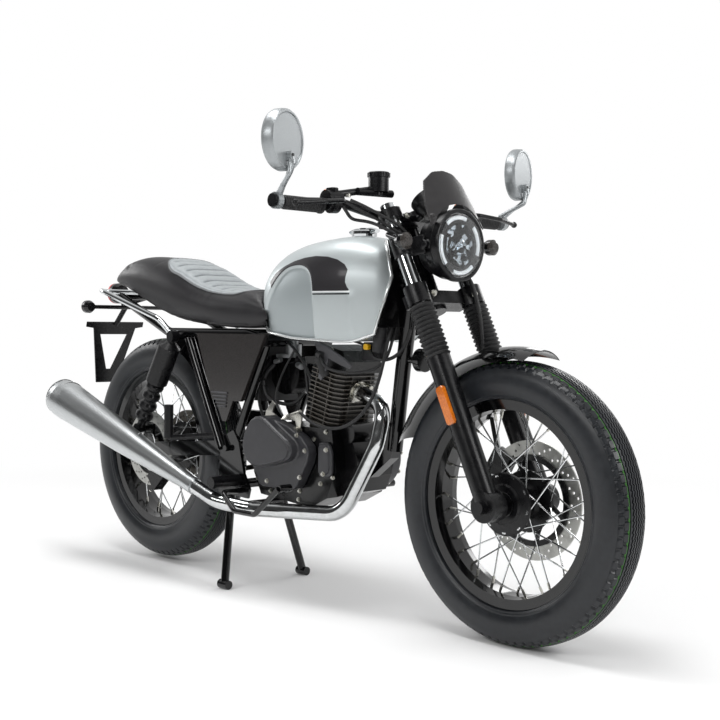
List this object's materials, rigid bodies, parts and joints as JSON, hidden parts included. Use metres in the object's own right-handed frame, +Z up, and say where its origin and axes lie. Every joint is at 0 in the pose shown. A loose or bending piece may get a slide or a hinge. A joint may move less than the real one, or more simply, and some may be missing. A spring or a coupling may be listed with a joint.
{
  "type": "cafe racer motorcycle",
  "caption": "Single-cylinder retro cafe racer motorcycle with spoked wheels, silver tank, channelled seat and bar-end mirrors, on its centre stand.",
  "frame": {"origin": "on the floor below the rear axle, in the middle plane", "axes": "+X forward, +Y to the left side, +Z up"},
  "size_m": [1.9901, 0.9373, 1.168],
  "materials": {
    "tyre": "matte",
    "black_gloss": "gloss",
    "black_satin": "satin",
    "chrome": "polished",
    "brushed_steel": "satin",
    "silver_paint": "gloss",
    "rubber": "matte",
    "black_plastic": "matte",
    "seat_leather": "matte",
    "clear_lens": "gloss",
    "red_lens": "gloss"
  },
  "bodies": {
    "front_wheel": {"front_tyre": "tyre", "front_rim": "black_gloss", "front_hub": "black_gloss", "front_disc": "brushed_steel"},
    "rear_wheel": {"rear_tyre": "tyre", "rear_rim": "black_gloss", "rear_hub": "black_gloss", "rear_disc": "brushed_steel", "rear_sprocket": "brushed_steel"},
    "fork": {"fork_lowers": "black_satin", "fork_stanchions": "chrome", "fork_gaiters": "rubber", "lower_yoke": "black_satin", "upper_yoke": "black_satin", "handlebar": "black_satin", "grips": "rubber", "bar_controls": "black_plastic", "mirrors": "chrome", "headlight_shell": "black_satin", "headlight_lens": "clear_lens", "fly_screen": "black_plastic", "gauge": "black_satin", "front_indicators": "black_plastic", "front_fender": "black_gloss", "front_caliper": "black_satin"},
    "centre_stand": {"centre_stand": "black_gloss"},
    "side_stand": {"side_stand": "black_gloss"},
    "frame": {"air_box": "black_plastic", "brake_pedal": "black_satin", "carburettor": "brushed_steel", "chain": "brushed_steel", "chain_guard": "black_satin", "engine_cases": "black_satin", "engine_covers": "black_satin", "engine_cylinder": "black_satin", "exhaust_header": "brushed_steel", "frame_backbone": "black_gloss", "frame_down_tube": "black_gloss", "frame_stays": "black_gloss", "fuel_tank": "silver_paint", "gear_lever": "black_satin", "grab_rail": "chrome", "horn": "black_gloss", "muffler": "brushed_steel", "passenger_pegs": "black_satin", "plate_bracket": "black_satin", "rear_caliper": "black_satin", "rear_fender": "black_gloss", "rear_indicators": "black_plastic", "rear_shocks": "black_gloss", "rider_pegs": "black_satin", "seat": "seat_leather", "seat_rails": "black_gloss", "side_panels": "black_plastic", "swinging_arm": "black_gloss", "tail_light": "red_lens", "tank_cap": "chrome"}
  },
  "joints": [
    {"name": "steering", "type": "hinge", "parent": "frame", "child": "fork", "pos_m": [1.04691, 0, 0.78302], "axis": [-0.4305, 0, 0.9026], "range_deg": [-38, 38]},
    {"name": "front_wheel_spin", "type": "hinge", "parent": "fork", "child": "front_wheel", "pos_m": [1.32, 0, 0.315], "axis": [0, 1, 0], "continuous": true},
    {"name": "rear_wheel_spin", "type": "hinge", "parent": "frame", "child": "rear_wheel", "pos_m": [0, 0, 0.335], "axis": [0, 1, 0], "continuous": true},
    {"name": "centre_stand_fold", "type": "hinge", "parent": "frame", "child": "centre_stand", "pos_m": [0.408, 0, 0.268], "axis": [0, 1, 0], "range_deg": [0, 76]},
    {"name": "side_stand_fold", "type": "hinge", "parent": "frame", "child": "side_stand", "pos_m": [0.505, 0.1403, 0.258], "axis": [0.28, -0.96, 0], "range_deg": [0, 100]}
  ]
}
